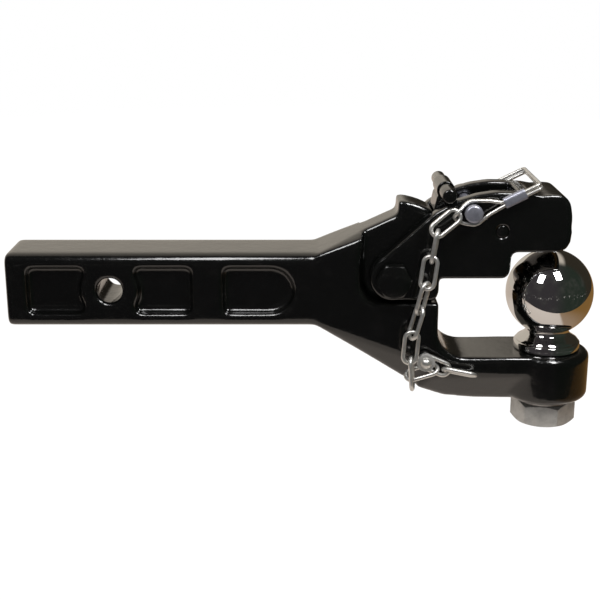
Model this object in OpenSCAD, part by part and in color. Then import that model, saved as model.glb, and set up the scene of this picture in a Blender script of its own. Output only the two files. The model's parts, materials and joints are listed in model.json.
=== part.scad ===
// Receiver-mount pintle hook with tow ball, latch, lock pin and chain
// Frame: hitch-pin hole centre at the origin, +X towards the ball, +Z up, millimetres

/* [Receiver shank] */
// Width and height of the square shank
shank_w = 49.6; // [46:0.1:52]
// Shank end behind the hitch-pin hole
shank_back = 68.5; // [55:0.5:90]
// Corner rounding of the shank
shank_round = 6.5; // [3:0.5:9]
// Diameter of the hitch-pin hole
pin_hole_d = 17; // [15:0.1:18]
// Depth of the weight-saving pockets
pocket_depth = 6; // [3:0.5:9]
// Height of the weight-saving pockets
pocket_h = 31; // [24:1:34]

/* [Head] */
// Jaw pivot along the shank from the hitch-pin hole
pivot_x = 187; // [175:1:200]
// Jaw pivot above the shank centre
pivot_z = 8.5; // [4:0.5:12]
// Thickness of the tongue between the jaw cheeks
tongue_w = 27; // [24:0.5:30]
// Radius of the quadrant on top of the tongue
ear_r = 50; // [48:0.5:50.5]
// Radius of the throat corner
throat_r = 19; // [14:0.5:22]
// Radius of the ball boss
boss_r = 29; // [27:0.5:31]
// Height of the ball boss and arm
arm_h = 33.5; // [30:0.5:38]
// Height of the bevel under the arm
belly_h = 21; // [12:1:26]
// Depth of the bevel under the arm
belly_w = 14; // [8:1:18]
// Width of the lower bevel where it begins at the shank
belly_start = 2; // [1:0.5:6]
// Width of the upper bevel where it begins at the shank
brow_start = 1; // [1:0.5:4]
// Height of the upper bevel that leads into the tongue
brow_h = 2.5; // [2:0.5:8]

/* [Tow ball] */
// Diameter of the ball
ball_d = 58.74; // [50:0.01:60]
// Diameter of the ball neck
neck_d = 29.5; // [26:0.5:34]
// Diameter of the seat flange
flange_d = 44.6; // [40:0.2:50]
// Diameter of the threaded shank
ball_shank_d = 25.4; // [19:0.1:28]
// Width of the nut across its flats
nut_af = 38.1; // [34:0.1:41]
// Height of the nut
nut_h = 14.5; // [12:0.5:22]
// Thickness of the spring washer
washer_t = 4; // [2:0.5:6]

/* [Upper jaw] */
// Width over the jaw cheeks
jaw_w = 49; // [46:0.5:51]
// Radius of the cheek round the pivot
cheek_r = 15.5; // [14:0.5:16]
// Diameter of the pivot bolt
bolt_d = 14.3; // [10:0.1:16]
// Width of the bolt head across its flats
bolt_af = 20.6; // [17:0.1:24]
// Height of the bolt head
bolt_head_h = 9; // [6:0.5:12]

/* [Latch] */
// Width of the latch
latch_w = 26; // [22:0.5:26.5]
// Diameter of the latch pin
latch_pin_d = 8; // [6:0.5:10]
// Diameter of the cross handle
handle_d = 9.4; // [8:0.2:11]
// Length of the cross handle
handle_l = 69; // [56:1:76]
// Wire diameter of the latch spring
spring_d = 1.6; // [1:0.1:2]

/* [Lock pin] */
// Diameter of the lock pin
lock_d = 8; // [6:0.1:8.2]
// Diameter of the lock-pin head
lock_head_d = 11.7; // [10:0.1:12.5]
// Diameter of the spring wire
wire_d = 2.4; // [1.8:0.1:2.6]

/* [Chain] */
// Diameter of the chain wire
link_d = 2.8; // [2.2:0.1:2.9]
// Inside length of a link
link_in = 18.8; // [18.6:0.1:19.2]
// Inside width of a link
link_gap = 6.2; // [6:0.1:6.6]
// Diameter of the rivet washer
rivet_washer_d = 12; // [10:0.2:14]

/* [Clearances] */
// Radial clearance of turning and sliding pins
run_gap = 0.05; // [0.01:0.01:0.1]
// Side clearance between moving faces
side_gap = 0.5; // [0.3:0.1:0.8]

/* [Hidden] */
$fn = 64;
eps = 0.01;
half_w = shank_w / 2;
jaw_half = jaw_w / 2;
slot_w = tongue_w + 2 * side_gap;
slot_r = ear_r + 2 * side_gap;
// Points below are measured from the jaw pivot, along the shank and up
shank_top = half_w - pivot_z;
shank_low = -half_w - pivot_z;
arm_top = -55;
arm_low = arm_top - arm_h;
throat_x = 30.5;
recess_z = -16.9;
recess_x = -21.5;
notch_x = 1.5;
notch_z = 40;
brow_x = -20;
brow_w = half_w - tongue_w / 2;
flare_x = -50;
ball_x = 108;
ball_z = -15.6;
seat_z = arm_top;
latch_x = 70;
latch_z = 31.5;
latch_boss_r = 8;
handle_rim = 1.3;
handle_x = 33.8;
handle_z = 56.6;
lock_x = 49.7;
lock_z = 45.3;
rivet_x = 22;
rivet_z = -55.2;
// Depths of the pieces in front of the jaw
wire_y = -jaw_half - 4.5;
lock_tip_y = jaw_half + 9.5;
lock_head_t = 4.5;
lock_head_gap = 0.8;
lock_head_y = wire_y - wire_d / 2 - lock_head_gap;
lock_bevel = 0.6;
rivet_link_y = -half_w - 5.7;
rivet_play = 0.4;
rivet_d = 5.2;
rivet_dome_r = 4;
rivet_washer_t = 1.5;
rivet_depth = 14;
rivet_head_y = rivet_link_y - link_d / 2 - rivet_play - rivet_washer_t;
// Sleeve ends on the wire, and the wire's high corner
sleeve_a = [68.5, 50.7];
sleeve_b = [83, 57.9];
sleeve_run = sleeve_b - sleeve_a;
sleeve_l = norm(sleeve_run);
sleeve_turn = atan2(sleeve_run[1], sleeve_run[0]);
strand_gap = 0.15;
strand = wire_d / 2 + strand_gap;
strand_off = strand * [-sin(sleeve_turn), cos(sleeve_turn)];
sleeve_wall = 1.2;
bend_full = 1.06;
bail_top = sleeve_a + 1.65 * sleeve_run;
bail_tail = sleeve_a - 0.45 * sleeve_run;
spring_turns = 3;
spring_leg = 6;
spring_r = latch_pin_d / 2 + spring_d / 2 + side_gap;
spring_pitch = spring_d * 0.9;
spring_slot = (spring_turns + 1) * spring_pitch + 2 * side_gap;
pocket_round = 3;
pin_rim = 11;
link_leg = link_in - link_gap;
anchor_slope = -24;

// Runs a side-view shape across the width
module across(w) {
  rotate([90, 0, 0])
    linear_extrude(height = w, center = true)
      children();
}

// Places a piece at the jaw pivot
module head() {
  translate([pivot_x, 0, pivot_z])
    children();
}

// Round bar across the width
module cross_bar(d, y0, y1) {
  translate([0, y0, 0])
    rotate([-90, 0, 0])
      cylinder(h = y1 - y0, d = d);
}

// Round wire between two points
module wire(a, b, d) {
  run = b - a;
  translate(a)
    rotate([0, acos(run[2] / norm(run)), atan2(run[1], run[0])])
      cylinder(h = norm(run), d = d, $fn = 24);
}

// Round wire through a list of points that ends where it starts, with pressed knuckles at its bends
module wire_path(points, d) {
  bend_d = d * bend_full;
  for (i = [0 : len(points) - 2]) {
    wire(points[i], points[i + 1], d);
    translate(points[i])
      cross_bar(bend_d, -bend_d / 2, bend_d / 2);
  }
}

// Square with rounded corners
module round_square(w, h, r) {
  square([w - 2 * r, h], center = true);
  square([w, h - 2 * r], center = true);
  for (i = [-1, 1], j = [-1, 1])
    translate([i * (w / 2 - r), j * (h / 2 - r)])
      circle(r);
}

module shank() {
  translate([-shank_back, 0, 0])
    rotate([90, 0, 90])
      linear_extrude(height = pivot_x + flare_x + shank_back + 1)
        round_square(shank_w, shank_w, shank_round);
}

// Both side pockets of one outline
module pocket() {
  for (side = [-1, 1])
    translate([0, side * half_w, 0])
      across(2 * pocket_depth)
        difference() {
          children();
          circle(pin_hole_d / 2 + pin_rim);
        }
}

// Pocket outline between two stations
module pocket_shape(x0, x1) {
  translate([(x0 + x1) / 2, 0])
    round_square(x1 - x0, pocket_h, pocket_round);
}

module shank_pockets() {
  pocket()
    pocket_shape(-54, -17);
  pocket()
    pocket_shape(17, 54);
  pocket() {
    pocket_shape(75, 108);
    translate([106, 0])
      circle(pocket_h / 2);
  }
}

// Height of the sloped top between the shank and the notch
function slope_z(x) = shank_top + (x - flare_x) * (notch_z - shank_top) / (notch_x - flare_x);

// Side view of the full-width part of the body
module wide_shape() {
  polygon([
    [flare_x - 1, shank_top], [flare_x, shank_top], [brow_x, slope_z(brow_x)], [recess_x, 10], [recess_x, -5],
    [-17, -13], [-9, recess_z], [throat_x, recess_z], [throat_x, arm_top], [ball_x, arm_top],
    [ball_x, arm_low], [56, arm_low], [36, arm_low + 2.5], [16, arm_low + 11], [-20, -53],
    [flare_x, shank_low], [flare_x - 1, shank_low]
  ]);
  difference() {
    translate([throat_x - eps, arm_top - eps])
      square(throat_r + eps);
    translate([throat_x + throat_r, arm_top + throat_r])
      circle(throat_r);
  }
}

// Side view of the tongue that the jaw straddles
module tongue_shape() {
  back_x = -30;
  polygon([
    [back_x, slope_z(back_x)], [notch_x, notch_z], [10, notch_z], [27, 25], [27, recess_z - 1],
    [back_x, recess_z - 1]
  ]);
  intersection() {
    circle(ear_r, $fn = 128);
    polygon([[3, 20], [3, 52], [18, 52], [22.6, 46.8], [34.7, 31.7], [27, 20]]);
  }
}

// Bevel along an edge from one point to another, started early by a lead, widening as it goes
module edge_cut(a, b, lead, first_w, last_w, deep) {
  run = b - a;
  grow_w = last_w - first_w;
  past_end = 3;
  past_foot = sign(deep) * 20;
  past_side = 2;
  for (side = [-1, 1])
    translate([a[0], side * half_w, a[1]])
      rotate([0, -atan2(run[1], run[0]), 0])
        translate([0, side * grow_w, 0])
          rotate([90, 0, 90 - side * atan2(grow_w, norm(run))])
            translate([0, 0, -lead])
              linear_extrude(height = norm(run) + lead + past_end)
                polygon([
                  [side * past_side, -past_foot], [-side * last_w, -past_foot], [-side * last_w, 0],
                  [0, deep], [side * past_side, deep]
                ]);
}

module hook_body() {
  color("black")
    difference() {
      union() {
        shank();
        head() {
          difference() {
            across(shank_w)
              wide_shape();
            edge_cut([36, arm_low], [ball_x, arm_low], 20, belly_w, belly_w, belly_h);
            edge_cut([flare_x - 2, shank_low], [16, arm_low + 11], 0, belly_start, belly_w, belly_h);
            edge_cut([flare_x, shank_top], [brow_x, slope_z(brow_x)], 0, brow_start, brow_w, -brow_h);
          }
          across(tongue_w)
            tongue_shape();
          translate([ball_x, 0, arm_low])
            boss();
        }
      }
      cross_hole(pin_hole_d);
      shank_pockets();
      head() {
        cross_hole(bolt_d + 2 * run_gap);
        translate([ball_x, 0, arm_low - 1])
          cylinder(h = arm_h + 2, d = ball_shank_d + 2 * run_gap);
        translate([rivet_x, 0, rivet_z])
          cross_bar(rivet_d + 2 * run_gap, -half_w - 1, -half_w + rivet_depth);
      }
    }
}

// Hole through the whole width at the origin
module cross_hole(d) {
  cross_bar(d, -shank_w, shank_w);
}

// Ball boss, turned, with a bevelled foot
module boss() {
  foot = 3;
  rotate_extrude()
    polygon([
      [0, 0], [boss_r - foot, 0], [boss_r, foot], [boss_r, arm_h - foot], [boss_r - foot, arm_h], [0, arm_h]
    ]);
}

module hitch_ball() {
  flange_h = 6;
  flange_bevel = 2;
  low = seat_z - ball_z;
  end = low - arm_h - washer_t - nut_h;
  color("silver")
    head()
      translate([ball_x, 0, ball_z])
        union() {
          sphere(d = ball_d);
          rotate_extrude()
            polygon([
              [0, -ball_d / 4], [neck_d / 2, -ball_d / 4], [neck_d / 2, low + 2 * flange_h],
              [flange_d / 2 - flange_bevel, low + flange_h], [flange_d / 2, low + flange_h - flange_bevel],
              [flange_d / 2, low], [ball_shank_d / 2, low], [ball_shank_d / 2, end + flange_bevel],
              [ball_shank_d / 2 - flange_bevel, end], [0, end]
            ]);
        }
}

module ball_washer() {
  slit = 2;
  color("gray")
    head()
      translate([ball_x, 0, arm_low - washer_t])
        difference() {
          cylinder(h = washer_t, d = nut_af - 1);
          translate([0, 0, -1])
            cylinder(h = washer_t + 2, d = ball_shank_d + 2 * run_gap);
          translate([0, 0, -1])
            cube([nut_af, slit, washer_t + 2]);
        }
}

// Six-sided prism with both ends bevelled like a nut
module hex(af, h) {
  corner = af / sqrt(3) + eps;
  bevel = (corner - af / 2) / 2;
  intersection() {
    rotate([0, 0, 30])
      cylinder(h = h, d = af / cos(30), $fn = 6);
    rotate_extrude()
      polygon([
        [0, 0], [af / 2, 0], [corner, bevel], [corner, h - bevel], [af / 2, h], [0, h]
      ]);
  }
}

module ball_nut() {
  color("silver")
    head()
      translate([ball_x, 0, arm_low - washer_t - nut_h])
        difference() {
          rotate([0, 0, 16])
            hex(nut_af, nut_h);
          translate([0, 0, -1])
            cylinder(h = nut_h + 2, d = ball_shank_d + 2 * run_gap);
        }
}

module pivot_bolt() {
  nut_t = bolt_head_h;
  color("black")
    head()
      rotate([90, 0, 0]) {
        translate([0, 0, jaw_half + side_gap])
          rotate([0, 0, 30])
            hex(bolt_af, bolt_head_h);
        translate([0, 0, -jaw_half - side_gap - nut_t - 2])
          cylinder(h = jaw_w + 2 * side_gap + nut_t + 2 + 1, d = bolt_d);
      }
}

module pivot_nut() {
  color("black")
    head()
      translate([0, jaw_half + side_gap, 0])
        rotate([-90, 0, 0])
          difference() {
            rotate([0, 0, 30])
              hex(bolt_af, bolt_head_h);
            translate([0, 0, -1])
              cylinder(h = bolt_head_h + 2, d = bolt_d + 2 * run_gap);
          }
}

// Side view of the jaw
module jaw_shape() {
  inset_r = cheek_r - 0.5;
  polygon([
    [-inset_r * sin(42), inset_r * cos(42)], [26, 44], [39, 51.5], [53.5, 56], [65.5, 57.8], [77, 57.5],
    [89, 56.5], [99, 54.5], [106, 51], [111, 46], [114.5, 39], [115.5, 31], [115, 24.5], [112.5, 20],
    [108, 17.5],
    [79, 17.4], [77, 15.5], [76.6, 5.5], [75.5, 2], [72.8, -0.3], [30.2, -0.4], [30.2, -9.5], [28.5, -14],
    [24, -cheek_r], [0, -inset_r]
  ]);
}

module upper_jaw() {
  color("black")
    head()
      difference() {
        union() {
          cross_bar(2 * cheek_r, -jaw_half, jaw_half);
          across(jaw_w)
            jaw_shape();
        }
        cross_bar(2 * slot_r, -slot_w / 2, slot_w / 2);
        translate([-30, -slot_w / 2, 16])
          cube([109.5, slot_w, 60]);
        cross_hole(bolt_d + 2 * run_gap);
        translate([latch_x, 0, latch_z])
          cross_hole(latch_pin_d + 2 * run_gap);
        translate([lock_x, 0, lock_z])
          cross_hole(lock_d + 2 * run_gap);
      }
}

// Side view of the latch
module latch_shape() {
  translate([latch_x, latch_z])
    circle(latch_boss_r);
  translate([handle_x, handle_z])
    circle(handle_d / 2 + handle_rim);
  polygon([
    [26.3, 43.2], [35.2, 32.1], [47.3, 19.2], [53, 17.5], [latch_x, latch_z - latch_boss_r],
    [latch_x, latch_z],
    [62, 35], [52, 30.8], [41, 30.8], [handle_x + handle_d / 2 + handle_rim, handle_z],
    [handle_x, handle_z], [28, 52]
  ]);
}

module latch() {
  color("black")
    head()
      difference() {
        across(latch_w)
          latch_shape();
        translate([latch_x, 0, latch_z]) {
          cross_hole(latch_pin_d + 2 * run_gap);
          cross_bar(2 * latch_boss_r + 3, -spring_slot / 2, spring_slot / 2);
        }
        translate([handle_x, 0, handle_z])
          cross_hole(handle_d + 2 * run_gap);
      }
}

module latch_handle() {
  color("black")
    head()
      translate([handle_x, 0, handle_z])
        cross_bar(handle_d, -handle_l / 2, handle_l / 2);
}

module latch_pin() {
  color("black")
    head()
      translate([latch_x, 0, latch_z])
        cross_bar(latch_pin_d, -jaw_half + side_gap, jaw_half - side_gap);
}

// Close-wound latch spring with a leg at each end
module latch_spring() {
  leg_d = spring_d - 0.1;
  end_y = (spring_turns - 1) / 2 * spring_pitch;
  color("gray")
    head()
      translate([latch_x, 0, latch_z]) {
        for (i = [0 : spring_turns - 1])
          translate([0, i * spring_pitch - end_y, 0])
            rotate([90, 0, 0])
              rotate_extrude()
                translate([spring_r, 0])
                  circle(d = spring_d, $fn = 24);
        wire([spring_r, -end_y, 0], [spring_r, -end_y, spring_leg], leg_d);
        wire([-spring_r, end_y, 0], [-spring_r, end_y, -spring_leg], leg_d);
      }
}

module lock_pin() {
  tip = 1.5;
  color("silver")
    head()
      translate([lock_x, 0, lock_z])
        rotate([-90, 0, 0])
          rotate_extrude()
            polygon([
              [0, lock_head_y - lock_head_t], [lock_head_d / 2 - lock_bevel, lock_head_y - lock_head_t],
              [lock_head_d / 2, lock_head_y - lock_head_t + lock_bevel], [lock_head_d / 2, lock_head_y],
              [lock_d / 2, lock_head_y], [lock_d / 2, lock_tip_y - tip], [lock_d / 2 - tip, lock_tip_y],
              [0, lock_tip_y]
            ]);
}

// Point on the wire at a side-view position and depth
function at(p, y) = [p[0], y, p[1]];

module wire_bail() {
  back_y = -wire_y;
  front_loop = [
    [60, 53], [47, 53], [43, 50], [39.5, 46.5], [37, 43], [39.5, 39.5], [45, 38], [52, 37], [60, 44]
  ];
  front_out = [0, 0, -2, -5, -2, 1.5, 0, 0, 0];
  back_loop = [[56, 40.5], [50, 38], [44, 40], [42, 45.5], [44, 50.5], [50, 52.5], [56, 50.5]];
  color("silver")
    head()
      wire_path(concat(
        [at(sleeve_a + strand_off, wire_y)],
        [for (i = [0 : len(front_loop) - 1]) at(front_loop[i], wire_y + front_out[i])],
        [at(sleeve_a - strand_off, wire_y), at(bail_top - strand_off, wire_y)],
        [at(bail_top - strand_off, back_y), at(bail_tail - strand_off, back_y)],
        [for (p = back_loop) at(p, back_y)],
        [at(bail_tail + strand_off, back_y), at(bail_top + strand_off, back_y)],
        [at(bail_top + strand_off, wire_y), at(sleeve_a + strand_off, wire_y)]
      ), wire_d);
}

module wire_sleeve() {
  color("silver")
    head()
      translate(at(sleeve_a + sleeve_run * 0.06, wire_y))
        rotate([0, 90 - sleeve_turn, 0])
          linear_extrude(height = sleeve_l * 0.94)
            difference() {
              union() {
                for (i = [-1, 1])
                  translate([i * strand, 0])
                    circle(wire_d / 2 + sleeve_wall);
                square([2 * strand, wire_d + 2 * sleeve_wall], center = true);
              }
              for (i = [-1, 1])
                translate([i * strand, 0])
                  circle(wire_d / 2 + run_gap);
            }
}

module chain_rivet() {
  box = 4 * rivet_dome_r;
  color("silver")
    head()
      translate([rivet_x, 0, rivet_z]) {
        cross_bar(rivet_d, rivet_head_y, -half_w + rivet_depth - 1);
        intersection() {
          translate([0, rivet_head_y, 0])
            sphere(rivet_dome_r);
          translate([0, rivet_head_y - box / 2, 0])
            cube(box, center = true);
        }
      }
}

module chain_washer() {
  color("silver")
    head()
      translate([rivet_x, rivet_head_y, rivet_z])
        difference() {
          cross_bar(rivet_washer_d, 0, rivet_washer_t);
          cross_bar(rivet_d + 2 * run_gap, -1, rivet_washer_t + 1);
        }
}

// Oval link along X in the XZ plane
module oval_link() {
  bow_r = (link_gap + link_d) / 2;
  for (side = [-1, 1]) {
    translate([-link_leg / 2, 0, side * bow_r])
      rotate([0, 90, 0])
        cylinder(h = link_leg, d = link_d, $fn = 24);
    translate([side * link_leg / 2, 0, 0])
      rotate([90, side * 90, 0])
        rotate_extrude(angle = 180)
          translate([bow_r, 0])
            circle(d = link_d, $fn = 24);
  }
}

// Link at a place, with its slope, its swing out of the side view and its roll
module link(place, slope, swing, roll) {
  color("silver")
    head()
      translate(place)
        rotate([0, -slope, 0])
          rotate([0, 0, swing])
            rotate([roll, 0, 0])
              oval_link();
}

module chain_link_01() {
  link([32, -half_w - 7.2, 39], 38, 10, -10);
}

module chain_link_02() {
  link([25.5, -half_w - 8.2, 24], 82, -5, 75);
}

module chain_link_03() {
  link([22, -half_w - 8.7, 6.5], 82, 5, -10);
}

module chain_link_04() {
  link([18.5, -half_w - 9.2, -10.5], 78, -5, 55);
}

module chain_link_05() {
  link([14.5, -half_w - 9.7, -27], 74, 5, -65);
}

module chain_link_06() {
  link([11.5, -half_w - 10.2, -44], 86, 0, 0);
}

module chain_link_07() {
  link([12.5, -half_w - 10.2, -62], 94, 0, 78);
}

module chain_link_08() {
  link([19.5, -half_w - 6.2, -62.5], 17, 0, -60);
}

// Link held on the rivet
module chain_link_09() {
  link([
    rivet_x + link_leg / 2 * cos(anchor_slope), rivet_link_y, rivet_z + link_leg / 2 * sin(anchor_slope)
  ], anchor_slope, 0, 0);
}

module chain_link_10() {
  link([44.5, -half_w - 6.7, -62.5], -10, -5, 65);
}

hook_body();
hitch_ball();
ball_washer();
ball_nut();
pivot_bolt();
pivot_nut();
upper_jaw();
latch();
latch_handle();
latch_pin();
latch_spring();
lock_pin();
wire_bail();
wire_sleeve();
chain_rivet();
chain_washer();
chain_link_01();
chain_link_02();
chain_link_03();
chain_link_04();
chain_link_05();
chain_link_06();
chain_link_07();
chain_link_08();
chain_link_09();
chain_link_10();
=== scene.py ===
"""Looks of a receiver-mount pintle hook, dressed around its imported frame."""

import json
import math

import bmesh
import bpy
from bpy.props import FloatProperty, FloatVectorProperty, IntProperty, PointerProperty
from mathutils import Euler, Matrix, Vector


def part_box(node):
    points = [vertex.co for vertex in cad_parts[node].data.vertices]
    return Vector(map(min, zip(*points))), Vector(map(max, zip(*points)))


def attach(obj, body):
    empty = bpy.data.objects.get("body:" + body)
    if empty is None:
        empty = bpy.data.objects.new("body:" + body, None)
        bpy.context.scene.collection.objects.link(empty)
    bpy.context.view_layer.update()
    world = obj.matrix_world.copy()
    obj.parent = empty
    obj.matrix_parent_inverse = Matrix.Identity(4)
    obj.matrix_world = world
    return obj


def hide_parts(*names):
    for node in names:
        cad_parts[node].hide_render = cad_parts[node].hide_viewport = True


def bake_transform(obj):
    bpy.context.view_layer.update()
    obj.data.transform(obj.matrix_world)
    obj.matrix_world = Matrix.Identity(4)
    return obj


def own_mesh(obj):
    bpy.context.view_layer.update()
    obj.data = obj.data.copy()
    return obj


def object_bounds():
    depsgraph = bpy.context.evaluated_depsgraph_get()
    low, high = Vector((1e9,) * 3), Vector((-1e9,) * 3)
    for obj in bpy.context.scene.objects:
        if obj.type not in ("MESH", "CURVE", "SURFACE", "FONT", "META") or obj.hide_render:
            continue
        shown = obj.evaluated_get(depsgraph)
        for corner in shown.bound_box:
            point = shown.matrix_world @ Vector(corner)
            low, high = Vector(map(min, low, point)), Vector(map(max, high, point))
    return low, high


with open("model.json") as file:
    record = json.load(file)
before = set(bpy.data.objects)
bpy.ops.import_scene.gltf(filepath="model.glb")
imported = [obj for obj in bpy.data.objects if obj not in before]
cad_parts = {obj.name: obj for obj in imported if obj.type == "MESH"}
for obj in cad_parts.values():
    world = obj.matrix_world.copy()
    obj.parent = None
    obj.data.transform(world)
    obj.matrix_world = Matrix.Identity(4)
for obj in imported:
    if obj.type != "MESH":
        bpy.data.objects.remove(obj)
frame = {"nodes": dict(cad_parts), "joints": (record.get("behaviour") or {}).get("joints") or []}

bl_info = {
    "name": "Pintle Hook Looks",
    "version": (1, 0, 0),
    "blender": (4, 5, 0),
    "location": "View3D > Sidebar > Pintle Hook",
    "description": "Builds the painted forgings, tow ball, lock pin and chain of a pintle hook",
    "category": "Object",
}

CAD_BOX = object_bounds()
MM = 0.001
NODES = frame["nodes"]
JOINTS = {joint["name"]: joint for joint in frame["joints"]}
JAW_PIVOT = Vector(JOINTS["jaw_open"]["pos_m"])
LATCH_PIVOT = Vector(JOINTS["latch_lift"]["pos_m"])
LOCK_AXIS = Vector(JOINTS["bail_swing"]["pos_m"])
BALL_REACH = 108 * MM
ARM_HEIGHT = 33.5 * MM
BAIL_SIDE = 29 * MM
ALONG_Y = Matrix.Rotation(math.radians(-90), 4, "X")
UPRIGHT = Matrix.Identity(4)
QUARTER_TURN = Euler((math.radians(90), 0, 0))
WHITE = (1, 1, 1, 1)


# Sizes and colours


class PaintedForgings(bpy.types.PropertyGroup):
    """Sizes and colours of the black forgings"""

    body_grain: FloatProperty(
        name="Body grain",
        description="Mesh size of the hook body",
        default=1.25 * MM,
        min=0.8 * MM,
        unit="LENGTH",
    )
    jaw_grain: FloatProperty(
        name="Jaw grain",
        description="Mesh size of the upper jaw",
        default=0.8 * MM,
        min=0.5 * MM,
        unit="LENGTH",
    )
    latch_grain: FloatProperty(
        name="Latch grain",
        description="Mesh size of the latch",
        default=0.55 * MM,
        min=0.4 * MM,
        unit="LENGTH",
    )
    body_rounding: IntProperty(
        name="Body rounding",
        description="Further smoothing passes on the shank side of the body",
        default=17,
        min=0,
    )
    boss_rounding: IntProperty(
        name="Boss rounding",
        description="Smoothing passes on the whole body, with the ball boss",
        default=7,
        min=0,
    )
    jaw_rounding: IntProperty(
        name="Jaw rounding",
        description="Smoothing passes on the jaw",
        default=32,
        min=0,
    )
    latch_rounding: IntProperty(
        name="Latch rounding",
        description="Smoothing passes on the latch",
        default=12,
        min=0,
    )
    black: FloatVectorProperty(
        name="Black paint",
        description="Colour of the paint",
        default=(0.0014, 0.0016, 0.0014),
        subtype="COLOR",
        size=3,
    )
    dust: FloatVectorProperty(
        name="Dust",
        description="Colour of the thin dust on the paint",
        default=(0.006, 0.0055, 0.005),
        subtype="COLOR",
        size=3,
    )
    hitch_hole: FloatProperty(
        name="Hitch-pin hole",
        description="Radius of the hole through the shank",
        default=8.5 * MM,
        unit="LENGTH",
    )


class TowBall(bpy.types.PropertyGroup):
    """Sizes and colours of the ball and its nut"""

    diameter: FloatProperty(
        name="Ball",
        description="Diameter of the ball",
        default=58.74 * MM,
        unit="LENGTH",
    )
    neck: FloatProperty(
        name="Neck",
        description="Diameter of the ball neck",
        default=29.5 * MM,
        unit="LENGTH",
    )
    shank: FloatProperty(
        name="Shank",
        description="Diameter of the threaded shank",
        default=25.4 * MM,
        unit="LENGTH",
    )
    thread: FloatProperty(
        name="Thread",
        description="Pitch of the shank thread",
        default=2.5 * MM,
        unit="LENGTH",
    )
    chrome: FloatVectorProperty(
        name="Chrome",
        description="Colour of the plating",
        default=(0.74, 0.73, 0.72),
        subtype="COLOR",
        size=3,
    )
    nut_zinc: FloatVectorProperty(
        name="Nut zinc",
        description="Colour of the ball nut and the rivet's washer",
        default=(0.43, 0.42, 0.4),
        subtype="COLOR",
        size=3,
    )


class WireAndPin(bpy.types.PropertyGroup):
    """Sizes and colours of the lock pin, its wire and the chain"""

    wire: FloatProperty(
        name="Wire",
        description="Diameter of the bail wire",
        default=2.4 * MM,
        unit="LENGTH",
    )
    bend: FloatProperty(
        name="Bend",
        description="Bend radius of the bail wire",
        default=2.6 * MM,
        unit="LENGTH",
    )
    loop: FloatProperty(
        name="Loop",
        description="Bend radius of the bail's loops",
        default=7 * MM,
        unit="LENGTH",
    )
    sleeve_grain: FloatProperty(
        name="Sleeve grain",
        description="Mesh size of the crimped sleeve",
        default=0.3 * MM,
        unit="LENGTH",
    )
    sleeve_rounding: IntProperty(
        name="Sleeve rounding",
        description="Smoothing passes on the sleeve",
        default=26,
        min=0,
    )
    link_wire: FloatProperty(
        name="Link wire",
        description="Diameter of the chain wire",
        default=2.8 * MM,
        unit="LENGTH",
    )
    link_length: FloatProperty(
        name="Link length",
        description="Inside length of a link",
        default=18.8 * MM,
        unit="LENGTH",
    )
    link_width: FloatProperty(
        name="Link width",
        description="Inside width of a link",
        default=6.2 * MM,
        unit="LENGTH",
    )
    zinc: FloatVectorProperty(
        name="Zinc",
        description="Colour of the chain and the bail wire",
        default=(0.68, 0.67, 0.64),
        subtype="COLOR",
        size=3,
    )
    blue: FloatVectorProperty(
        name="Blue zinc",
        description="Colour of the pin and the sleeve",
        default=(0.34, 0.345, 0.4),
        subtype="COLOR",
        size=3,
    )
    steel: FloatVectorProperty(
        name="Steel",
        description="Colour of the latch spring and the spring washer",
        default=(0.4, 0.39, 0.38),
        subtype="COLOR",
        size=3,
    )


class Studio(bpy.types.PropertyGroup):
    """Camera and light"""

    distance: FloatProperty(
        name="Distance",
        description="Camera to object",
        default=0.8034,
        unit="LENGTH",
    )
    elevation: FloatProperty(
        name="Elevation",
        description="Camera height angle",
        default=math.radians(16.4),
        unit="ROTATION",
    )
    focal: FloatProperty(
        name="Focal length",
        description="Lens on a 36 mm sensor",
        default=70.8,
    )
    aim: FloatVectorProperty(
        name="Aim",
        description="Point the camera looks at",
        default=(0.1256, 0.0, -0.0131),
        subtype="TRANSLATION",
        size=3,
    )
    floor_drop: FloatProperty(
        name="Floor drop",
        description="Floor below the lowest point",
        default=0.06,
        unit="LENGTH",
    )
    overhead: FloatProperty(
        name="Overhead",
        description="Power of the overhead softbox",
        default=9.0,
        unit="POWER",
    )
    window: FloatProperty(
        name="Window",
        description="Power of the windows behind the camera, before their shares",
        default=1.8,
        unit="POWER",
    )
    backdrop: FloatVectorProperty(
        name="Backdrop",
        description="Room behind the hook as the paint mirrors it",
        default=(0.6, 0.545, 0.465),
        subtype="COLOR",
        size=3,
    )
    # Painted reflection: colour the floor glows into the paint and the ball
    carpet: FloatVectorProperty(
        name="Carpet",
        description="Floor as the paint and the ball mirror it",
        default=(0.62, 0.53, 0.45),
        subtype="COLOR",
        size=3,
    )


SETTINGS = {"forgings": PaintedForgings, "ball": TowBall, "wire": WireAndPin, "studio": Studio}


def settings(name):
    return getattr(bpy.context.scene, "pintle_" + name)


# Materials


class Value:
    """A shader socket that takes part in Python sums"""

    def __init__(self, finish, socket):
        self.finish = finish
        self.socket = socket

    def _sum(self, operation, first, second):
        return self.finish.add("ShaderNodeMath", {"operation": operation}, {0: first, 1: second})

    def __add__(self, other):
        return self._sum("ADD", self, other)

    def __radd__(self, other):
        return self._sum("ADD", other, self)

    def __sub__(self, other):
        return self._sum("SUBTRACT", self, other)

    def __rsub__(self, other):
        return self._sum("SUBTRACT", other, self)

    def __mul__(self, other):
        return self._sum("MULTIPLY", self, other)

    def __rmul__(self, other):
        return self._sum("MULTIPLY", other, self)


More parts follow.
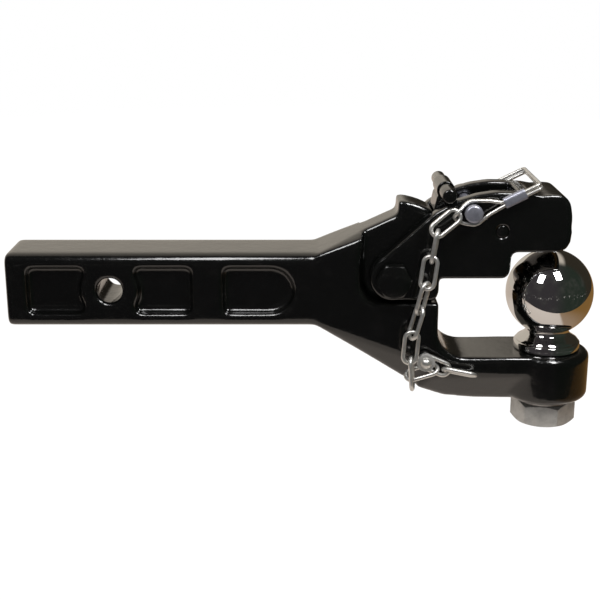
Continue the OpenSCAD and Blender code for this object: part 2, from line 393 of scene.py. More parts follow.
class Finish:
    """A node tree with one way to add nodes"""

    def __init__(self, tree):
        self.tree = tree

    def add(self, kind, options=None, inputs=None, output=0):
        node = self.tree.nodes.new(kind)
        for key, value in (options or {}).items():
            setattr(node, key, value)
        for key, value in (inputs or {}).items():
            if isinstance(value, Value):
                self.tree.links.new(value.socket, node.inputs[key])
            else:
                node.inputs[key].default_value = value
        return Value(self, node.outputs[output])

    def place(self):
        return self.add("ShaderNodeTexCoord", output="Object")

    def noise(self, place, scale, detail=2.0, rough=0.5):
        inputs = {"Vector": place, "Scale": scale, "Detail": detail, "Roughness": rough}
        return self.add("ShaderNodeTexNoise", None, inputs)

    def ramp(self, value, low, high):
        inputs = {0: value, 1: low, 2: high}
        return self.add("ShaderNodeMapRange", {"interpolation_type": "SMOOTHSTEP"}, inputs)

    def mix(self, factor, first, second):
        return self.add("ShaderNodeMix", {"data_type": "RGBA"}, {0: factor, 6: first, 7: second}, 2)

    def larger(self, first, second):
        return self.add("ShaderNodeMath", {"operation": "MAXIMUM"}, {0: first, 1: second})

    def axis(self, vector, name):
        return self.add("ShaderNodeSeparateXYZ", None, {0: vector}, name)

    def bump(self, height, strength, distance, under=None):
        inputs = {"Height": height, "Strength": strength, "Distance": distance}
        if under is not None:
            inputs["Normal"] = under
        return self.add("ShaderNodeBump", None, inputs)


def rgba(colour, level=1.0):
    return (*(level * part for part in colour), 1.0)


def new_material(name):
    blank = bpy.data.materials.new(name)
    blank.use_nodes = True
    shader = blank.node_tree.nodes["Principled BSDF"]
    return blank, Finish(blank.node_tree), shader


def feed(finish, shader, **inputs):
    for name, value in inputs.items():
        socket = shader.inputs[name.replace("_", " ")]
        if isinstance(value, Value):
            finish.tree.links.new(value.socket, socket)
        else:
            socket.default_value = value


def black_paint():
    """Gloss black paint with orange peel over a forged skin"""
    look = settings("forgings")
    paint, finish, shader = new_material("gloss_black_paint")
    place = finish.place()
    cloud = finish.noise(place, scale=28.0, detail=5.0, rough=0.6)
    dust = finish.ramp(finish.noise(place, scale=70.0, detail=8.0, rough=0.7), low=0.5, high=0.78)
    skin = finish.bump(finish.noise(place, scale=60.0, detail=3.0), strength=0.3, distance=1.2 * MM)
    grain = finish.noise(place, scale=330.0, detail=3.0)
    peel = finish.bump(grain, strength=0.36, distance=0.4 * MM, under=skin)
    feed(
        finish,
        shader,
        Base_Color=finish.mix(dust * 0.5, rgba(look.black), rgba(look.dust)),
        Roughness=0.14 + cloud * 0.12 + dust * 0.08,
        Normal=peel,
        Coat_Weight=0.6,
        Coat_Roughness=0.04,
        IOR=1.45,
    )
    return paint


def chrome():
    """Polished plating with faint smears"""
    plating, finish, shader = new_material("polished_chrome")
    place = finish.place()
    smear = finish.ramp(finish.noise(place, scale=45.0, detail=6.0, rough=0.65), low=0.45, high=0.8)
    waves = finish.noise(place, scale=130.0)
    colour = settings("ball").chrome
    feed(
        finish,
        shader,
        Base_Color=finish.mix(smear * 0.3, rgba(colour), rgba(colour, level=0.8)),
        Metallic=1.0,
        Roughness=0.035 + smear * 0.06,
        Normal=finish.bump(waves, strength=0.05, distance=0.3 * MM),
    )
    return plating


def zinc(name, colour, rough, grain, metal):
    """Zinc plating, mottled and finely pitted"""
    plating, finish, shader = new_material(name)
    place = finish.place()
    mottle = finish.noise(place, scale=160.0, detail=6.0, rough=0.65)
    spots = finish.ramp(finish.noise(place, scale=420.0, detail=4.0), low=0.52, high=0.72)
    worn = finish.ramp(mottle, low=0.4, high=0.75)
    pits = finish.noise(place, scale=grain, detail=4.0)
    feed(
        finish,
        shader,
        Base_Color=finish.mix(worn, rgba(colour), rgba(colour, level=0.72)),
        Metallic=metal,
        Roughness=rough + mottle * 0.16 + spots * 0.1,
        Normal=finish.bump(pits, strength=0.08, distance=0.2 * MM),
    )
    return plating


MATERIALS = {}


def material(name):
    """Makes each finish once"""
    makers = {
        "black_paint": black_paint,
        "chrome": chrome,
        "zinc": lambda: zinc("bright_zinc", settings("wire").zinc, rough=0.24, grain=700.0, metal=0.9),
        "blue_zinc": lambda: zinc("blue_zinc", settings("wire").blue, rough=0.3, grain=600.0, metal=0.8),
        "nut_zinc": lambda: zinc("matt_zinc", settings("ball").nut_zinc, rough=0.38, grain=520.0, metal=0.6),
        "spring_steel": lambda: zinc("dull_steel", settings("wire").steel, rough=0.3, grain=600.0, metal=0.9),
    }
    if name not in MATERIALS:
        MATERIALS[name] = makers[name]()
    return MATERIALS[name]


# Mesh helpers


def add_piece(name, mesh, finish):
    piece = bpy.data.objects.new(name, mesh)
    bpy.context.scene.collection.objects.link(piece)
    mesh.materials.clear()
    mesh.materials.append(material(finish))
    return piece


def bake_modifiers(piece):
    """Turns a piece's modifiers into its plain mesh"""
    bpy.context.view_layer.update()
    graph = bpy.context.evaluated_depsgraph_get()
    made = bpy.data.meshes.new_from_object(piece.evaluated_get(graph))
    made.name = piece.name
    piece.modifiers.clear()
    piece.data = made
    return piece


def merged_copy(node):
    """The frame node's mesh with its triangles joined"""
    shape = bmesh.new()
    shape.from_mesh(NODES[node].data)
    bmesh.ops.remove_doubles(shape, verts=shape.verts, dist=0.001 * MM)
    return shape


def to_mesh(name, shape):
    mesh = bpy.data.meshes.new(name)
    shape.to_mesh(mesh)
    shape.free()
    return mesh


def round_edges(piece, passes, group=""):
    rounding = piece.modifiers.new("rounding", "SMOOTH")
    rounding.factor = 0.5
    rounding.iterations = passes
    rounding.vertex_group = group
    bake_modifiers(piece)


def forge(name, node, grain, passes, finish="black_paint"):
    """Frame node with the soft edges of a forging"""
    piece = add_piece(name, to_mesh(name, merged_copy(node)), finish)
    remesh = piece.modifiers.new("grain", "REMESH")
    remesh.mode = "VOXEL"
    remesh.voxel_size = grain
    round_edges(piece, passes)
    piece.data.shade_smooth()
    return piece


def soften_shank_side(piece, passes, start, end):
    """More rounding before the ball boss, whose edges stay crisp"""
    group = piece.vertex_groups.new(name="soft_edges")
    for vertex in piece.data.vertices:
        share = min(max((end - vertex.co.x) / (end - start), 0), 1)
        group.add([vertex.index], share, "REPLACE")
    round_edges(piece, passes, group.name)
    piece.vertex_groups.clear()
    piece.data.shade_smooth()


def fill_corner(piece, corner, reach, push):
    """Pushes the edge round a point of the side outline outwards, less and less with distance"""
    for vertex in piece.data.vertices:
        offset = Vector((vertex.co.x - corner.x, 0, vertex.co.z - corner.z))
        share = max(1 - (offset.length / reach) ** 2, 0) ** 2
        vertex.co += share * push
    piece.data.update()


def true_bore(piece, centre, radius):
    """Keeps a cross hole at its real radius after the rounding"""
    for vertex in piece.data.vertices:
        offset = Vector((vertex.co.x - centre.x, 0, vertex.co.z - centre.z))
        if 0 < offset.length < radius:
            push = offset.normalized() * radius
            vertex.co.x = centre.x + push.x
            vertex.co.z = centre.z + push.z


def softened(name, node, finish, width, segments=3):
    """Frame node with its sharp edges broken"""
    shape = merged_copy(node)
    bmesh.ops.dissolve_limit(shape, angle_limit=math.radians(1), verts=shape.verts, edges=shape.edges)
    piece = add_piece(name, to_mesh(name, shape), finish)
    bevel = piece.modifiers.new("edge", "BEVEL")
    bevel.width = width
    bevel.segments = segments
    bevel.limit_method = "ANGLE"
    bevel.angle_limit = math.radians(32)
    bake_modifiers(piece)
    piece.data.shade_smooth()
    piece.data.set_sharp_from_angle(angle=math.radians(38))
    return piece


def turned(name, profile, turn, centre, finish, segments=96):
    """Solid of revolution from radius and height points"""
    shape = bmesh.new()
    rings = []
    for radius, height in profile:
        if radius == 0:
            rings.append([shape.verts.new((0, 0, height))])
        else:
            angles = (math.tau * i / segments for i in range(segments))
            spots = ((radius * math.cos(a), radius * math.sin(a), height) for a in angles)
            rings.append([shape.verts.new(spot) for spot in spots])
    for low, high in zip(rings, rings[1:]):
        for i in range(segments):
            j = (i + 1) % segments
            if len(low) == 1:
                shape.faces.new((low[0], high[j], high[i]))
            elif len(high) == 1:
                shape.faces.new((low[i], low[j], high[0]))
            else:
                shape.faces.new((low[i], low[j], high[j], high[i]))
    bmesh.ops.recalc_face_normals(shape, faces=shape.faces)
    mesh = to_mesh(name, shape)
    mesh.transform(Matrix.Translation(centre) @ turn)
    piece = add_piece(name, mesh, finish)
    mesh.shade_smooth()
    mesh.set_sharp_from_angle(angle=math.radians(40))
    return piece


def arc(centre, radius, start, stop, steps):
    """Points of a profile arc, angles in degrees"""
    turns = (math.radians(start + (stop - start) * i / steps) for i in range(steps + 1))
    return [(centre[0] + radius * math.cos(t), centre[1] + radius * math.sin(t)) for t in turns]


def mount(piece, body, slot, *nodes):
    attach(piece, body)
    stand_in(piece, slot, *nodes)


def stand_in(piece, slot, *nodes):
    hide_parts(*nodes)


# Geometry node trees


class NodeTree:
    """A geometry node tree with named inputs"""

    def __init__(self, name):
        self.tree = bpy.data.node_groups.new(name, "GeometryNodeTree")
        self.tree.interface.new_socket("Geometry", in_out="INPUT", socket_type="NodeSocketGeometry")
        self.tree.interface.new_socket("Geometry", in_out="OUTPUT", socket_type="NodeSocketGeometry")
        self.entry = self.tree.nodes.new("NodeGroupInput")
        self.exit = self.tree.nodes.new("NodeGroupOutput")

    def input(self, name, kind="NodeSocketFloat"):
        self.tree.interface.new_socket(name, in_out="INPUT", socket_type=kind)
        return self.entry.outputs[name]

    def add(self, kind, options=None, inputs=None):
        node = self.tree.nodes.new(kind)
        for key, value in (options or {}).items():
            setattr(node, key, value)
        for key, value in (inputs or {}).items():
            if isinstance(value, bpy.types.NodeSocket):
                self.tree.links.new(value, node.inputs[key])
            else:
                node.inputs[key].default_value = value
        return node

    def math(self, operation, first, second):
        return self.add("ShaderNodeMath", {"operation": operation}, {0: first, 1: second}).outputs[0]

    def tube(self, curve, radius, sides=20):
        """Round wire along a curve"""
        section = {"Resolution": sides, "Radius": radius}
        profile = self.add("GeometryNodeCurvePrimitiveCircle", None, section)
        sweep = {"Curve": curve, "Profile Curve": profile.outputs[0], "Fill Caps": True}
        swept = self.add("GeometryNodeCurveToMesh", None, sweep)
        return self.add("GeometryNodeSetShadeSmooth", None, {"Geometry": swept.outputs[0]}).outputs[0]

    def end(self, geometry, finish):
        real = self.add("GeometryNodeRealizeInstances", None, {"Geometry": geometry})
        coated = {"Geometry": real.outputs[0], "Material": material(finish)}
        coat = self.add("GeometryNodeSetMaterial", None, coated)
        self.tree.links.new(coat.outputs[0], self.exit.inputs[0])


def grow(name, tree, mesh, values, finish):
    """Runs a node tree on a mesh and keeps its result as a plain piece"""
    piece = add_piece(name, mesh, finish)
    modifier = piece.modifiers.new("grow", "NODES")
    modifier.node_group = tree.tree
    for item in tree.tree.interface.items_tree:
        if item.item_type == "SOCKET" and item.in_out == "INPUT" and item.name in values:
            modifier[item.identifier] = values[item.name]
    return bake_modifiers(piece)


def wire_tree(finish):
    """Wire with rounded bends along a row of edges"""
    tree = NodeTree("bent_wire")
    wire = tree.input("Wire")
    curve = tree.add("GeometryNodeMeshToCurve", None, {"Mesh": tree.entry.outputs["Geometry"]})
    named = tree.add("GeometryNodeInputNamedAttribute", {"data_type": "FLOAT"}, {"Name": "bend"})
    bend = named.outputs["Attribute"]
    bends = {"Curve": curve.outputs[0], "Count": 10, "Radius": bend, "Limit Radius": True}
    rounded = tree.add("GeometryNodeFilletCurve", {"mode": "POLY"}, bends)
    tree.end(tree.tube(rounded.outputs[0], tree.math("MULTIPLY", wire, 0.5)), finish)
    return tree


def link_tree():
    """Oval chain link with a butt weld on one leg"""
    tree = NodeTree("oval_link")
    wire, length, width = tree.input("Wire"), tree.input("Length"), tree.input("Width")
    place, turn = tree.input("Place", "NodeSocketVector"), tree.input("Turn", "NodeSocketRotation")
    bow = tree.math("MULTIPLY", tree.math("ADD", width, wire), 0.5)
    leg = tree.math("MULTIPLY", tree.math("SUBTRACT", length, width), 0.5)
    circle = tree.add("GeometryNodeCurvePrimitiveCircle", None, {"Resolution": 64, "Radius": bow})
    at = tree.add("ShaderNodeSeparateXYZ", None, {0: tree.add("GeometryNodeInputPosition").outputs[0]})
    side = tree.math("SIGN", at.outputs["X"], 0.0)
    stretch = tree.add("ShaderNodeCombineXYZ", None, {"X": tree.math("MULTIPLY", side, leg)})
    pulled = {"Geometry": circle.outputs[0], "Offset": stretch.outputs[0]}
    oval = tree.add("GeometryNodeSetPosition", None, pulled)
    even = {"Curve": oval.outputs[0], "Count": 96}
    fine = tree.add("GeometryNodeResampleCurve", {"mode": "COUNT"}, even)
    on = tree.add("ShaderNodeSeparateXYZ", None, {0: tree.add("GeometryNodeInputPosition").outputs[0]})
    along = tree.math("ABSOLUTE", on.outputs["X"], 0.0)
    near = tree.math("LESS_THAN", along, tree.math("MULTIPLY", wire, 0.34))
    lower = tree.math("LESS_THAN", on.outputs["Y"], 0.0)
    bead = tree.math("MULTIPLY", tree.math("MULTIPLY", near, lower), 0.1)
    radius = tree.math("ADD", 1.0, bead)
    welded = tree.add("GeometryNodeSetCurveRadius", None, {"Curve": fine.outputs[0], "Radius": radius})
    swept = tree.tube(welded.outputs[0], tree.math("MULTIPLY", wire, 0.5))
    upright = tree.add("GeometryNodeTransform", None, {"Geometry": swept, "Rotation": QUARTER_TURN})
    pose = {"Geometry": upright.outputs[0], "Translation": place, "Rotation": turn}
    posed = tree.add("GeometryNodeTransform", None, pose)
    tree.end(posed.outputs[0], "zinc")
    return tree


def spring_tree():
    """Coiled spring about the latch pin"""
    tree = NodeTree("coil_spring")
    wire, radius = tree.input("Wire"), tree.input("Radius")
    height, place = tree.input("Height"), tree.input("Place", "NodeSocketVector")
    turns = {"Resolution": 40, "Rotations": 3.5, "Height": height}
    coil = tree.add("GeometryNodeCurveSpiral", None, {**turns, "Start Radius": radius, "End Radius": radius})
    swept = tree.tube(coil.outputs[0], tree.math("MULTIPLY", wire, 0.5), sides=14)
    low = tree.math("MULTIPLY", height, -0.5)
    shift = tree.add("ShaderNodeCombineXYZ", None, {"Z": low})
    centred = tree.add("GeometryNodeTransform", None, {"Geometry": swept, "Translation": shift.outputs[0]})
    pose = {"Geometry": centred.outputs[0], "Rotation": QUARTER_TURN, "Translation": place}
    across = tree.add("GeometryNodeTransform", None, pose)
    tree.end(across.outputs[0], "spring_steel")
    return tree


# Pieces


class PINTLE_OT_forgings(bpy.types.Operator):
    """Builds the hook body, the upper jaw and the latch"""

    bl_idname = "pintle.forgings"
    bl_label = "Forgings"

    def execute(self, context):
        look = settings("forgings")
        body = forge("forged_hook", "hook_body", look.body_grain, look.boss_rounding)
        boss_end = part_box("hook_body")[1].x
        soft_until = boss_end - 78 * MM
        crisp_from = boss_end - 60 * MM
        soften_shank_side(body, look.body_rounding, soft_until, crisp_from)
        # The frame's origin is the middle of the hitch-pin hole
        origin = Vector((0, 0, 0))
        true_bore(body, origin, look.hitch_hole)
        mount(body, "hook_body", "black_paint", "hook_body")
        jaw = forge("forged_jaw", "upper_jaw", look.jaw_grain, look.jaw_rounding)
        nose_corner = JAW_PIVOT + Vector((109, 0, 49)) * MM
        fullness = Vector((2.6, 0, 4.6)) * MM
        fill_corner(jaw, nose_corner, reach=17 * MM, push=fullness)
        mount(jaw, "upper_jaw", "black_paint", "upper_jaw")
        latch = forge("forged_latch", "latch", look.latch_grain, look.latch_rounding)
        mount(latch, "latch", "black_paint", "latch")
        return {"FINISHED"}


class PINTLE_OT_latch_fittings(bpy.types.Operator):
    """Builds the cross handle, the latch pin and the latch spring"""

    bl_idname = "pintle.latch_fittings"
    bl_label = "Latch fittings"

    def execute(self, context):
        low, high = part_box("latch_handle")
        radius, half = (high.x - low.x) / 2, (high.y - low.y) / 2
        edge = 1.6 * MM
        side = arc((radius - edge, half - edge), edge, 0, 90, 5)
        profile = [(0, -half), *((r, -h) for r, h in reversed(side)), *side, (0, half)]
        handle = turned("cross_handle", profile, ALONG_Y, (low + high) / 2, "black_paint", 48)
        mount(handle, "latch", "black_paint", "latch_handle")
        pin = softened("latch_pin_end", "latch_pin", "black_paint", 0.8 * MM)
        mount(pin, "upper_jaw", "black_paint", "latch_pin")
        low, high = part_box("latch_spring")
        wire = 1.6 * MM
        values = {
            "Wire": wire,
            "Radius": (high.x - low.x - wire) / 2,
            "Height": high.y - low.y - wire,
            "Place": LATCH_PIVOT,
        }
        mesh = bpy.data.meshes.new("coil_spring")
        spring = grow("coil_spring", spring_tree(), mesh, values, "spring_steel")
        mount(spring, "upper_jaw", "spring_steel", "latch_spring")
        return {"FINISHED"}


class PINTLE_OT_tow_ball(bpy.types.Operator):
    """Builds the ball, its spring washer and its nut"""

    bl_idname = "pintle.tow_ball"
    bl_label = "Tow ball"

    def execute(self, context):
        look = settings("ball")
        low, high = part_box("hitch_ball")
        ball, neck, shank = look.diameter / 2, look.neck / 2, look.shank / 2
        centre = Vector((JAW_PIVOT.x + BALL_REACH, 0, high.z - ball))
        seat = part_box("hook_body")[0].z + ARM_HEIGHT - centre.z
        end = low.z - centre.z
        under = math.degrees(math.asin(neck / ball))
        dome = [(0, ball), *arc((0, 0), ball, 88, under - 90, 60)]
        # Radius and height above the seat in millimetres
        flare = [(14.5, 13), (14.8, 12), (15.7, 10.7), (17.3, 9.3)]
        flare += [(19.3, 8.1), (20.6, 7.2), (21.1, 6.4), (20.9, 5.8)]
        rim = [(21.8, 5.6), (22.3, 5.0), (22.3, 0.8), (21.5, 0)]
        shoulder = [(radius * MM, seat + height * MM) for radius, height in flare + rim] + [(shank, seat)]
        plain, chamfer, groove = 30 * MM, 2 * MM, 1.1 * MM
        turns = int((seat - end - plain) / look.thread)
        thread = []
        for i in range(turns):
            top = end + chamfer + (turns - i) * look.thread
            thread += [(shank, top), (shank - groove, top - look.thread / 2)]
        tail = [(shank, end + chamfer), (shank - chamfer, end), (0, end)]
        piece = turned("chrome_ball", dome + shoulder + thread + tail, UPRIGHT, centre, "chrome", 128)
        mount(piece, "hook_body", "chrome", "hitch_ball")
        washer = softened("spring_washer", "ball_washer", "spring_steel", 0.4 * MM)
        mount(washer, "hook_body", "spring_steel", "ball_washer")
        nut = softened("ball_nut_hex", "ball_nut", "nut_zinc", 0.7 * MM)
        mount(nut, "hook_body", "zinc", "ball_nut")
        return {"FINISHED"}


class PINTLE_OT_pivot_bolt(bpy.types.Operator):
    """Builds the jaw's pivot bolt and nut"""

    bl_idname = "pintle.pivot_bolt"
    bl_label = "Pivot bolt"

    def execute(self, context):
        for name, node in (("pivot_bolt_hex", "pivot_bolt"), ("pivot_nut_hex", "pivot_nut")):
            mount(softened(name, node, "black_paint", 0.9 * MM, 4), "hook_body", "black_paint", node)
        return {"FINISHED"}


class PINTLE_OT_lock_pin(bpy.types.Operator):
    """Builds the lock pin, its wire bail and the crimped sleeve"""

    bl_idname = "pintle.lock_pin"
    bl_label = "Lock pin and wire"

    def execute(self, context):
        look = settings("wire")
        low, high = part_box("lock_pin")
        head, stem = (high.x - low.x) / 2, 4 * MM
        face, back, tip = low.y, low.y + 4.5 * MM, high.y
        break_edge, lead = 0.4 * MM, 1.5 * MM
        profile = [
            (0, face),
            (head - 1.6 * MM, face),
            (head - 0.6 * MM, face + 0.3 * MM),
            (head, face + 1.1 * MM),
            (head, back - break_edge),
            (head - break_edge, back),
            (stem, back),
            (stem, tip - lead),
            *arc((stem - lead, tip - lead), lead, 20, 90, 5),
            (0, tip),
        ]
        axis = Vector((LOCK_AXIS.x, 0, LOCK_AXIS.z))
        pin = turned("lock_pin_round", profile, ALONG_Y, axis, "blue_zinc", 64)
        mount(pin, "lock_pin", "zinc", "lock_pin")
        bail = self.bail()
        mount(bail, "wire_bail", "zinc", "wire_bail")
        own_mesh(bail)
        sleeve = forge("crimped_sleeve", "wire_sleeve", look.sleeve_grain, look.sleeve_rounding, "blue_zinc")
        mount(sleeve, "wire_bail", "zinc", "wire_sleeve")
        return {"FINISHED"}

    def bail(self):
        """One closed wire that starts and ends inside the sleeve"""
        look = settings("wire")
        front, back = -BAIL_SIDE, BAIL_SIDE
        start, stop = Vector((68.5, 50.7)) * MM, Vector((83, 57.9)) * MM
        run = stop - start
        half_gap = 1.35 * MM
        strand = half_gap * Vector((-run.y, run.x)).normalized()
        top, tail = start + 1.65 * run, start - 0.45 * run
        # Along, up and, for the eye, outwards from the jaw pivot in millimetres
        eye = [(60, 53, 0), (47, 53, 0), (43, 50, -2), (39.5, 46.5, -5), (37, 43, -2)]
        eye += [(39.5, 39.5, 1.5), (45, 38, 0), (52, 37, 0), (60, 44, 0)]
        clip = [(56, 40.5), (50, 38), (44, 40), (42, 45.5), (44, 50.5), (50, 52.5), (56, 50.5)]
        route = [(start + strand, front)]
        route += [(Vector((x, z)) * MM, front + out * MM) for x, z, out in eye]
        route += [(start - strand, front), (top - strand, front), (top - strand, back), (tail - strand, back)]
        route += [(Vector((x, z)) * MM, back) for x, z in clip]
        route += [(tail + strand, back), (top + strand, back), (top + strand, front)]
        points = [JAW_PIVOT + Vector((p.x, y, p.y)) for p, y in route]
        mesh = bpy.data.meshes.new("wire_bail_bent")
        count = len(points)
        mesh.from_pydata(points, [(i, (i + 1) % count) for i in range(count)], [])
        bends = mesh.attributes.new("bend", "FLOAT", "POINT")
        straights = [look.bend] * 4
        rounds = [look.bend, *[look.loop] * len(eye), *straights, *[look.loop] * len(clip), *straights[:3]]
        bends.data.foreach_set("value", rounds)
        return grow("wire_bail_bent", wire_tree("zinc"), mesh, {"Wire": look.wire}, "zinc")


class PINTLE_OT_chain(bpy.types.Operator):
    """Builds the chain links, the rivet and its washer"""

    bl_idname = "pintle.chain"
    bl_label = "Chain"

    # Place from the jaw pivot in millimetres, then slope, swing and roll in degrees
    links = [
        (32, -32, 39, 38, 10, -10), (25.5, -33, 24, 82, -5, 75), (22, -33.5, 6.5, 82, 5, -10),
        (18.5, -34, -10.5, 78, -5, 55), (14.5, -34.5, -27, 74, 5, -65), (11.5, -35, -44, 86, 0, 0),
        (12.5, -35, -62, 94, 0, 78), (19.5, -31, -62.5, 17, 0, -60), (27.76, -30.5, -57.76, -24, 0, 0),
        (44.5, -31.5, -62.5, -10, -5, 65),
    ]

    def execute(self, context):
        look = settings("wire")
        tree = link_tree()
        sizes = {"Wire": look.link_wire, "Length": look.link_length, "Width": look.link_width}
        for number, (x, y, z, slope, swing, roll) in enumerate(self.links, 1):
            turn = Matrix.Rotation(math.radians(-slope), 3, "Y")
            turn = turn @ Matrix.Rotation(math.radians(swing), 3, "Z")
            turn = turn @ Matrix.Rotation(math.radians(roll), 3, "X")
            place = JAW_PIVOT + Vector((x, y, z)) * MM
            values = {**sizes, "Place": place, "Turn": turn.to_euler("XYZ")}
            name = f"chain_link_{number:02d}"
            piece = grow("zinc_" + name, tree, bpy.data.meshes.new(name), values, "zinc")
            self.follow(piece, number)
            stand_in(piece, "zinc", name)
        self.rivet()
        return {"FINISHED"}

    def follow(self, piece, number):
        """Leaves links 1 to 8 in place with no body and attaches the rest to the hook body"""
        if number == 1:
            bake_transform(piece)
        elif number <= 4:
            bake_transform(piece)
        elif number <= 8:
            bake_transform(piece)
        else:
            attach(piece, "hook_body")

    def rivet(self):
        low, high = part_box("chain_rivet")
        centre = Vector(((low.x + high.x) / 2, 0, (low.z + high.z) / 2))
        dome, stem = (high.x - low.x) / 2, 2.6 * MM
        under = low.y + dome
        profile = [(0, low.y), *arc((0, under), dome, -88, -4, 14)]
        profile += [(dome - 0.3 * MM, under), (stem, under), (stem, high.y), (0, high.y)]
        head = turned("rivet_dome", profile, ALONG_Y, centre, "zinc", 48)
        mount(head, "hook_body", "zinc", "chain_rivet")
        washer = softened("rivet_washer", "chain_washer", "nut_zinc", 0.35 * MM)
        mount(washer, "hook_body", "zinc", "chain_washer")


# Floor, light and camera


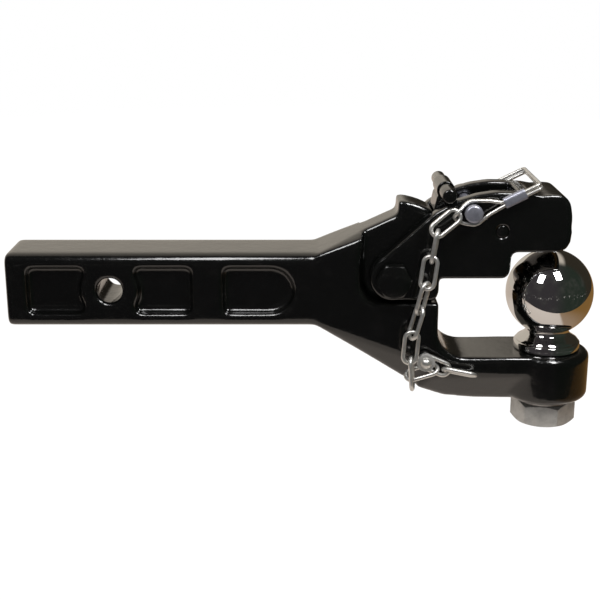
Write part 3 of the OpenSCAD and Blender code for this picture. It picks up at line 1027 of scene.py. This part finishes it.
class PINTLE_OT_stage(bpy.types.Operator):
    """Sets the floor, the soft light and the camera"""

    bl_idname = "pintle.stage"
    bl_label = "Stage"

    def execute(self, context):
        scene = context.scene
        scene.view_settings.view_transform = "Standard"
        look = settings("studio")
        self.world(scene, look)
        self.floor(look)
        aim = Vector(look.aim)
        above = aim + Vector((-0.05, 0.28, 0.75))
        overhead_size = (1.1, 0.7)
        overhead = self.softbox("overhead", above, aim, overhead_size, look.overhead)
        overhead.visible_glossy = False
        ball = Vector((JAW_PIVOT.x + BALL_REACH, 0, 0))
        window_distance, window_size = 0.52, (0.13, 0.2)
        # Direction from the ball and share of the power
        windows = (
            ("left_window", (-0.486, -0.529, 0.695), 0.6),
            ("right_window", (0.197, -0.549, 0.811), 1.2),
        )
        for name, toward, share in windows:
            place = ball + window_distance * Vector(toward)
            self.softbox(name, place, ball, window_size, share * look.window)
        self.camera(scene, look, aim)
        return {"FINISHED"}

    def seen(self, finish):
        """Two values: one for the camera, a mirror or glass that looks at it, and one for the camera alone"""
        path = finish.tree.nodes.new("ShaderNodeLightPath")
        names = ("Is Camera Ray", "Is Glossy Ray", "Is Transmission Ray")
        camera, mirror, glass = (Value(finish, path.outputs[name]) for name in names)
        return finish.larger(finish.larger(camera, mirror), glass), camera

    def world(self, scene, look):
        """White to the camera, a dim room with a pale back wall to everything shiny"""
        scene.world = bpy.data.worlds.new("studio")
        scene.world.use_nodes = True
        finish = Finish(scene.world.node_tree)
        seen, camera = self.seen(finish)
        direction = finish.add("ShaderNodeTexCoord", output="Generated")
        across, depth, height = (finish.axis(direction, name) for name in "XYZ")
        purple, green = (0.042, 0.038, 0.041), (0.024, 0.033, 0.025)
        things, lamps = (0.08, 0.08, 0.072), (0.55, 0.53, 0.5)
        dark_corner, fill = (0.033, 0.028, 0.02), (0.45, 0.45, 0.45)
        shade = finish.mix(finish.ramp(across, -0.1, 0.7), rgba(purple), rgba(green))
        clutter = finish.ramp(finish.noise(direction, scale=2.2, detail=4.0, rough=0.6), 0.45, 0.8)
        dim = finish.mix(clutter * 0.7, shade, rgba(things))
        horizon = finish.ramp(height, -0.16, -0.1) * (1.0 - finish.ramp(height, 0.0, 0.06))
        specks = horizon * finish.ramp(finish.noise(direction, scale=14.0), 0.62, 0.7)
        dim = finish.mix(specks, dim, rgba(lamps))
        corner = finish.ramp(across - height * 0.5, -0.05, 0.11)
        wall = finish.mix(corner, rgba(look.backdrop), rgba(dark_corner))
        room = finish.mix(finish.ramp(depth, -0.05, 0.3), dim, wall)
        mirrored = finish.mix(camera, room, WHITE)
        colour = finish.mix(seen, rgba(fill), mirrored)
        background = scene.world.node_tree.nodes["Background"]
        finish.tree.links.new(colour.socket, background.inputs["Color"])

    def floor(self, look):
        """White paper that keeps the shadow; it glows evenly white to the camera and glows carpet and board
        colours into mirrors, a painted reflection
        """
        low, high = (Vector(corner) for corner in CAD_BOX)
        centre = Vector(((low.x + high.x) / 2, 0, low.z - look.floor_drop))
        floor_radius, floor_shift = 1.2, 1.0
        shape = bmesh.new()
        bmesh.ops.create_circle(shape, cap_ends=True, segments=96, radius=floor_radius)
        mesh = to_mesh("studio_floor", shape)
        mesh.transform(Matrix.Translation((centre.x, floor_shift, centre.z)))
        paper, finish, shader = new_material("white_paper")
        # off_white is the paper's own colour; brown is the painted reflection of board that the floor glows
        # into mirrors
        off_white, brown = (0.9, 0.89, 0.88), (0.24, 0.13, 0.04)
        feed(finish, shader, Base_Color=rgba(off_white), Roughness=0.9)
        seen, camera = self.seen(finish)
        spot = finish.add("ShaderNodeNewGeometry", output="Position")
        along, depth = (finish.axis(spot, name) for name in "XY")
        # Painted reflection: for mirrors the floor glows carpet colour, and brown board to the right of a
        # line that moves right with depth
        line = 0.35 + 0.35 * finish.ramp(depth, 0.0, 1.0)
        painted_board_reflection = finish.mix(finish.ramp(along - line, 0.0, 0.02), rgba(look.carpet), rgba(brown))
        # Glow: evenly white to the camera, the painted carpet and board reflection to mirrors
        tint = finish.mix(camera, painted_board_reflection, rgba(WHITE[:3], level=1.03))
        glow = finish.add("ShaderNodeEmission", None, {"Color": tint, "Strength": 1.0})
        matt = Value(finish, shader.outputs[0])
        away = finish.add("ShaderNodeVectorMath", {"operation": "DISTANCE"}, {0: spot, 1: centre}, "Value")
        share = seen * (0.86 + 0.14 * finish.ramp(away, 0.15, 0.45))
        mixed = finish.add("ShaderNodeMixShader", None, {0: share, 1: matt, 2: glow})
        finish.tree.links.new(mixed.socket, paper.node_tree.nodes["Material Output"].inputs["Surface"])
        floor = bpy.data.objects.new("studio_floor", mesh)
        mesh.materials.append(paper)
        bpy.context.scene.collection.objects.link(floor)

    def softbox(self, name, place, aim, size, power):
        light = bpy.data.lights.new(name, "AREA")
        light.shape = "RECTANGLE"
        light.size, light.size_y = size
        light.energy = power
        lamp = bpy.data.objects.new(name, light)
        lamp.location = place
        lamp.rotation_euler = (aim - place).to_track_quat("-Z", "Y").to_euler()
        bpy.context.scene.collection.objects.link(lamp)
        return lamp

    def camera(self, scene, look, aim):
        data = bpy.data.cameras.new("camera")
        data.sensor_width = 36
        data.lens = look.focal
        data.clip_start = 0.01
        camera = bpy.data.objects.new("camera", data)
        toward = Vector((0, -math.cos(look.elevation), math.sin(look.elevation)))
        camera.location = aim + look.distance * toward
        camera.rotation_euler = (aim - camera.location).to_track_quat("-Z", "Y").to_euler()
        scene.collection.objects.link(camera)
        scene.camera = camera


OPERATORS = [
    PINTLE_OT_stage, PINTLE_OT_forgings, PINTLE_OT_latch_fittings, PINTLE_OT_tow_ball, PINTLE_OT_pivot_bolt,
    PINTLE_OT_lock_pin, PINTLE_OT_chain,
]


class PINTLE_PT_looks(bpy.types.Panel):
    """Lists the pieces of the pintle hook"""

    bl_label = "Pintle Hook"
    bl_idname = "PINTLE_PT_looks"
    bl_space_type = "VIEW_3D"
    bl_region_type = "UI"
    bl_category = "Pintle Hook"

    def draw(self, context):
        for name, group in SETTINGS.items():
            box = self.layout.box()
            for key in group.__annotations__:
                box.prop(settings(name), key)
        for operator in OPERATORS:
            self.layout.operator(operator.bl_idname)


def register():
    for cls in (*SETTINGS.values(), *OPERATORS, PINTLE_PT_looks):
        bpy.utils.register_class(cls)
    for name, group in SETTINGS.items():
        setattr(bpy.types.Scene, "pintle_" + name, PointerProperty(type=group))


def unregister():
    for name in SETTINGS:
        delattr(bpy.types.Scene, "pintle_" + name)
    for cls in reversed((*SETTINGS.values(), *OPERATORS, PINTLE_PT_looks)):
        bpy.utils.unregister_class(cls)


def main():
    register()
    for operator in OPERATORS:
        group, name = operator.bl_idname.split(".")
        getattr(getattr(bpy.ops, group), name)()


if __name__ == "__main__":
    main()
